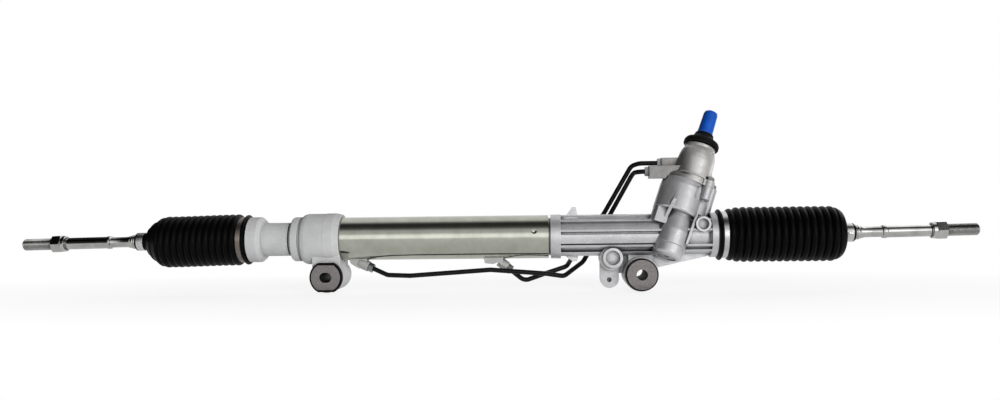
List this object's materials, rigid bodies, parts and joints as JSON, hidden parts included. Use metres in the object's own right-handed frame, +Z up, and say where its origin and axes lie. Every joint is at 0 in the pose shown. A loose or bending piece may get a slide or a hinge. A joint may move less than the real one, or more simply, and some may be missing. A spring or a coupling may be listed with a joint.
{
  "type": "hydraulic rack and pinion steering gear",
  "caption": "Hydraulic rack and pinion steering gear with long power cylinder, leaning valve tower, rigid oil pipes, bellows, sleeve mounts and threaded tie rods",
  "frame": {"origin": "centre of the round mounting bore at the gear side", "axes": "+X runs along the rack to the gear-side end, +Z is up, +Y runs along the mounting bores away from the side they are seen from"},
  "size_m": [1.2897, 0.0953, 0.2413],
  "materials": {
    "painted_casting": "silver-grey paint on a sand-cast surface, machined edges lighter",
    "plated_tube": "zinc plated drawn steel tube, slightly greenish, long soft reflections",
    "cast_alloy": "bare die-cast aluminium with fine cast grain, machined faces brighter",
    "cast_alloy_dark": "bare gravity-cast aluminium, warmer and darker grain",
    "zinc_steel": "zinc plated steel",
    "machined_steel": "ground and machined steel",
    "machined_alloy": "turned aluminium",
    "black_rubber": "matt black moulded rubber",
    "boot_rubber": "black thermoplastic elastomer, satin on the ridges",
    "sleeve_steel": "grey phosphated steel face",
    "coated_pipe": "gloss black coated steel pipe",
    "clamp_steel": "bright stainless strip",
    "seal_polymer": "dark seal polymer",
    "seat_polymer": "off-white bearing polymer",
    "rod_steel": "bright zinc plated turned steel, threads duller",
    "cap_plastic": "blue soft protective cap"
  },
  "bodies": {
    "housing": {"cylinder_casting": "painted_casting", "cylinder_tube": "plated_tube", "left_port_boss": "plated_tube", "right_port_boss": "plated_tube", "gear_housing": "cast_alloy", "valve_housing": "cast_alloy_dark", "flange_bolts": "zinc_steel", "bottom_plug": "zinc_steel", "guide_plug": "zinc_steel", "guide_locknut": "zinc_steel", "pipe_nuts": "zinc_steel", "lower_bearing": "machined_steel", "upper_bearing": "machined_steel", "input_bearing": "machined_steel", "guide_spring": "machined_steel", "cylinder_bush": "machined_alloy", "seal_carrier": "machined_alloy", "rack_guide": "machined_alloy", "input_seal": "black_rubber", "left_rod_seal": "black_rubber", "right_rod_seal": "black_rubber", "left_mount_rubber": "black_rubber", "right_mount_rubber": "black_rubber", "left_boot": "boot_rubber", "right_boot": "boot_rubber", "left_mount_sleeve": "sleeve_steel", "right_mount_sleeve": "sleeve_steel", "left_port_pipe": "coated_pipe", "right_port_pipe": "coated_pipe", "left_boot_clamp": "clamp_steel", "right_boot_clamp": "clamp_steel"},
    "rack": {"rack_bar": "machined_steel", "piston": "machined_alloy", "piston_ring": "seal_polymer", "left_lock_washer": "zinc_steel", "right_lock_washer": "zinc_steel", "left_socket": "machined_steel", "right_socket": "machined_steel"},
    "pinion": {"pinion_gear": "machined_steel", "valve_sleeve": "machined_steel", "sleeve_rings": "seal_polymer"},
    "input_shaft": {"input_shaft": "machined_steel", "torsion_bar": "machined_steel", "dust_cover": "black_rubber"},
    "shaft_cap": {"shaft_cap": "cap_plastic"},
    "left_ball_seat": {"left_ball_seat": "seat_polymer"},
    "right_ball_seat": {"right_ball_seat": "seat_polymer"},
    "left_tie_rod": {"left_tie_rod": "rod_steel", "left_boot_clip": "clamp_steel"},
    "right_tie_rod": {"right_tie_rod": "rod_steel", "right_boot_clip": "clamp_steel"},
    "left_jam_nut": {"left_jam_nut": "rod_steel"},
    "right_jam_nut": {"right_jam_nut": "rod_steel"}
  },
  "joints": [
    {"name": "rack_slide", "type": "slide", "parent": "housing", "child": "rack", "axis": [1, 0, 0], "range_m": [-0.083, 0.067], "deforming": ["left_boot", "right_boot"]},
    {"name": "pinion_spin", "type": "hinge", "parent": "housing", "child": "pinion", "pos_m": [0.044, -0.01758, 0.05504], "axis": [0.3338, 0.2598, 0.9061], "range_deg": [-482, 597]},
    {"name": "input_twist", "type": "hinge", "parent": "pinion", "child": "input_shaft", "pos_m": [0.044, -0.01758, 0.05504], "axis": [0.3338, 0.2598, 0.9061], "range_deg": [-3.5, 3.5], "stiffness_Nm_per_rad": 95},
    {"name": "cap_pull", "type": "slide", "parent": "input_shaft", "child": "shaft_cap", "axis": [0.3338, 0.2598, 0.9061], "range_m": [0, 0.06]},
    {"name": "left_ball_swing", "type": "hinge", "parent": "rack", "child": "left_ball_seat", "pos_m": [-0.6115, 0, 0.05], "axis": [0, 1, 0], "range_deg": [-20, 20]},
    {"name": "left_ball_yaw", "type": "hinge", "parent": "left_ball_seat", "child": "left_tie_rod", "pos_m": [-0.6115, 0, 0.05], "axis": [0, 0, 1], "range_deg": [-20, 20]},
    {"name": "left_nut_turn", "type": "hinge", "parent": "left_tie_rod", "child": "left_jam_nut", "pos_m": [-0.6115, 0, 0.05], "axis": [-0.9999, 0, -0.0157], "continuous": true},
    {"name": "right_ball_swing", "type": "hinge", "parent": "rack", "child": "right_ball_seat", "pos_m": [0.206, 0, 0.05], "axis": [0, 1, 0], "range_deg": [-20, 20]},
    {"name": "right_ball_yaw", "type": "hinge", "parent": "right_ball_seat", "child": "right_tie_rod", "pos_m": [0.206, 0, 0.05], "axis": [0, 0, 1], "range_deg": [-20, 20]},
    {"name": "right_nut_turn", "type": "hinge", "parent": "right_tie_rod", "child": "right_jam_nut", "pos_m": [0.206, 0, 0.05], "axis": [0.9999, 0, 0.0157], "continuous": true}
  ],
  "couplings": [
    {"joint": "pinion_spin", "follows": "rack_slide", "rad_per_m": -125}
  ]
}
